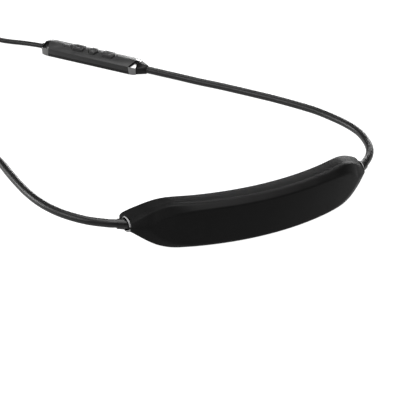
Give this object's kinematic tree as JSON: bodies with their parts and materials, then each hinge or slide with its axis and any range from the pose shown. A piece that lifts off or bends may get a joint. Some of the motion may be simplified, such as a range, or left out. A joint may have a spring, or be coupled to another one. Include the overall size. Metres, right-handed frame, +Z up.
{
  "type": "neckband earphones",
  "caption": "Neckband earphones: a curved nape housing with springy arms, in-line button and charging modules, and earbuds on thin coiled cables.",
  "frame": {"origin": "on the nape housing's flat underside, which rests on the table, below the middle of the arc through the two arm mouths", "axes": "+X to the wearer's right, the side with the button module; +Y forward, from the nape towards the earbuds; +Z up"},
  "size_m": [0.1732, 0.2434, 0.019],
  "materials": {
    "soft_touch_black": "soft-touch coated, matt",
    "dark_grey_shell": "fine moulded texture, satin",
    "black_shell": "smooth, semi-gloss",
    "screw_steel": "black oxide",
    "battery_foil": "laminated foil pouch, satin",
    "circuit_board": "green solder mask, satin",
    "chip_black": "moulded epoxy, matt",
    "tin_plate": "tinned steel, bright",
    "antenna_copper": "flexible printed copper, satin",
    "cord_rubber": "extruded elastomer, satin",
    "memory_wire": "drawn wire",
    "relief_rubber": "moulded rubber, matt",
    "polished_bezel": "polished plated ring",
    "switch_plastic": "moulded, matt",
    "microphone_can": "gold-plated can",
    "light_pipe": "clear frosted light guide",
    "driver_cone": "film diaphragm in a metal basket",
    "mesh_steel": "fine woven mesh",
    "silicone_tip": "silicone, soft satin",
    "cable_tie": "silicone strap, matt"
  },
  "bodies": {
    "nape": {"nape_outer_shell": "soft_touch_black", "nape_inner_shell": "soft_touch_black", "nape_screws": "screw_steel", "battery_cell": "battery_foil", "main_board": "circuit_board", "board_chips": "chip_black", "radio_shield": "tin_plate", "antenna_strip": "antenna_copper", "right_mouth_grommet": "relief_rubber", "left_mouth_grommet": "relief_rubber"},
    "right_arm": {"right_arm_sheath": "cord_rubber", "right_memory_wire": "memory_wire", "right_arm_collar": "cord_rubber", "remote_upper_shell": "dark_grey_shell", "remote_lower_shell": "black_shell", "remote_board": "circuit_board", "remote_switches": "switch_plastic", "microphone": "microphone_can", "remote_inner_bezel": "polished_bezel", "remote_outer_bezel": "polished_bezel", "remote_inner_relief": "relief_rubber", "remote_outer_relief": "relief_rubber", "right_cable": "cord_rubber", "right_cable_coil": "cord_rubber", "right_cable_tie": "cable_tie", "right_earbud_rear_shell": "dark_grey_shell", "right_earbud_front_shell": "black_shell", "right_earbud_driver": "driver_cone", "right_earbud_mesh": "mesh_steel", "right_earbud_stem": "relief_rubber"},
    "left_arm": {"left_arm_sheath": "cord_rubber", "left_memory_wire": "memory_wire", "left_arm_collar": "cord_rubber", "charger_upper_shell": "dark_grey_shell", "charger_lower_shell": "black_shell", "charger_board": "circuit_board", "power_switch": "switch_plastic", "status_light": "light_pipe", "charge_socket": "tin_plate", "charger_inner_bezel": "polished_bezel", "charger_outer_bezel": "polished_bezel", "charger_inner_relief": "relief_rubber", "charger_outer_relief": "relief_rubber", "left_cable": "cord_rubber", "left_cable_coil": "cord_rubber", "left_cable_tie": "cable_tie", "left_earbud_rear_shell": "dark_grey_shell", "left_earbud_front_shell": "black_shell", "left_earbud_driver": "driver_cone", "left_earbud_mesh": "mesh_steel", "left_earbud_stem": "relief_rubber"},
    "volume_up": {"volume_up_button": "dark_grey_shell"},
    "play": {"play_button": "dark_grey_shell"},
    "volume_down": {"volume_down_button": "dark_grey_shell"},
    "power": {"power_button": "dark_grey_shell"},
    "flap": {"socket_flap": "relief_rubber"},
    "right_tip": {"right_ear_tip": "silicone_tip"},
    "left_tip": {"left_ear_tip": "silicone_tip"}
  },
  "joints": [
    {"name": "right_arm_flex", "type": "hinge", "parent": "nape", "child": "right_arm", "pos_m": [0.05353, 0.01226, 0.009], "axis": [0, 0, -1], "range_deg": [-1.5, 12], "stiffness_Nm_per_rad": 0.25},
    {"name": "left_arm_flex", "type": "hinge", "parent": "nape", "child": "left_arm", "pos_m": [-0.05737, 0.0142, 0.009], "axis": [0, 0, 1], "range_deg": [-1.5, 12], "stiffness_Nm_per_rad": 0.25},
    {"name": "volume_up_press", "type": "slide", "parent": "right_arm", "child": "volume_up", "axis": [0, 0, -1], "range_m": [0, 0.00035], "stiffness_N_per_m": 900},
    {"name": "play_press", "type": "slide", "parent": "right_arm", "child": "play", "axis": [0, 0, -1], "range_m": [0, 0.00035], "stiffness_N_per_m": 900},
    {"name": "volume_down_press", "type": "slide", "parent": "right_arm", "child": "volume_down", "axis": [0, 0, -1], "range_m": [0, 0.00035], "stiffness_N_per_m": 900},
    {"name": "power_press", "type": "slide", "parent": "left_arm", "child": "power", "axis": [0, 0, -1], "range_m": [0, 0.00035], "stiffness_N_per_m": 900},
    {"name": "socket_flap_hinge", "type": "hinge", "parent": "left_arm", "child": "flap", "pos_m": [-0.06236, 0.16348, 0.00366], "axis": [0.3007, 0.9537, 0], "range_deg": [0, 100]},
    {"name": "right_ear_tip_pull", "type": "slide", "parent": "right_arm", "child": "right_tip", "axis": [0, -1, 0], "range_m": [0, 0.007]},
    {"name": "left_ear_tip_pull", "type": "slide", "parent": "left_arm", "child": "left_tip", "axis": [1, 0, 0], "range_m": [0, 0.007]}
  ]
}
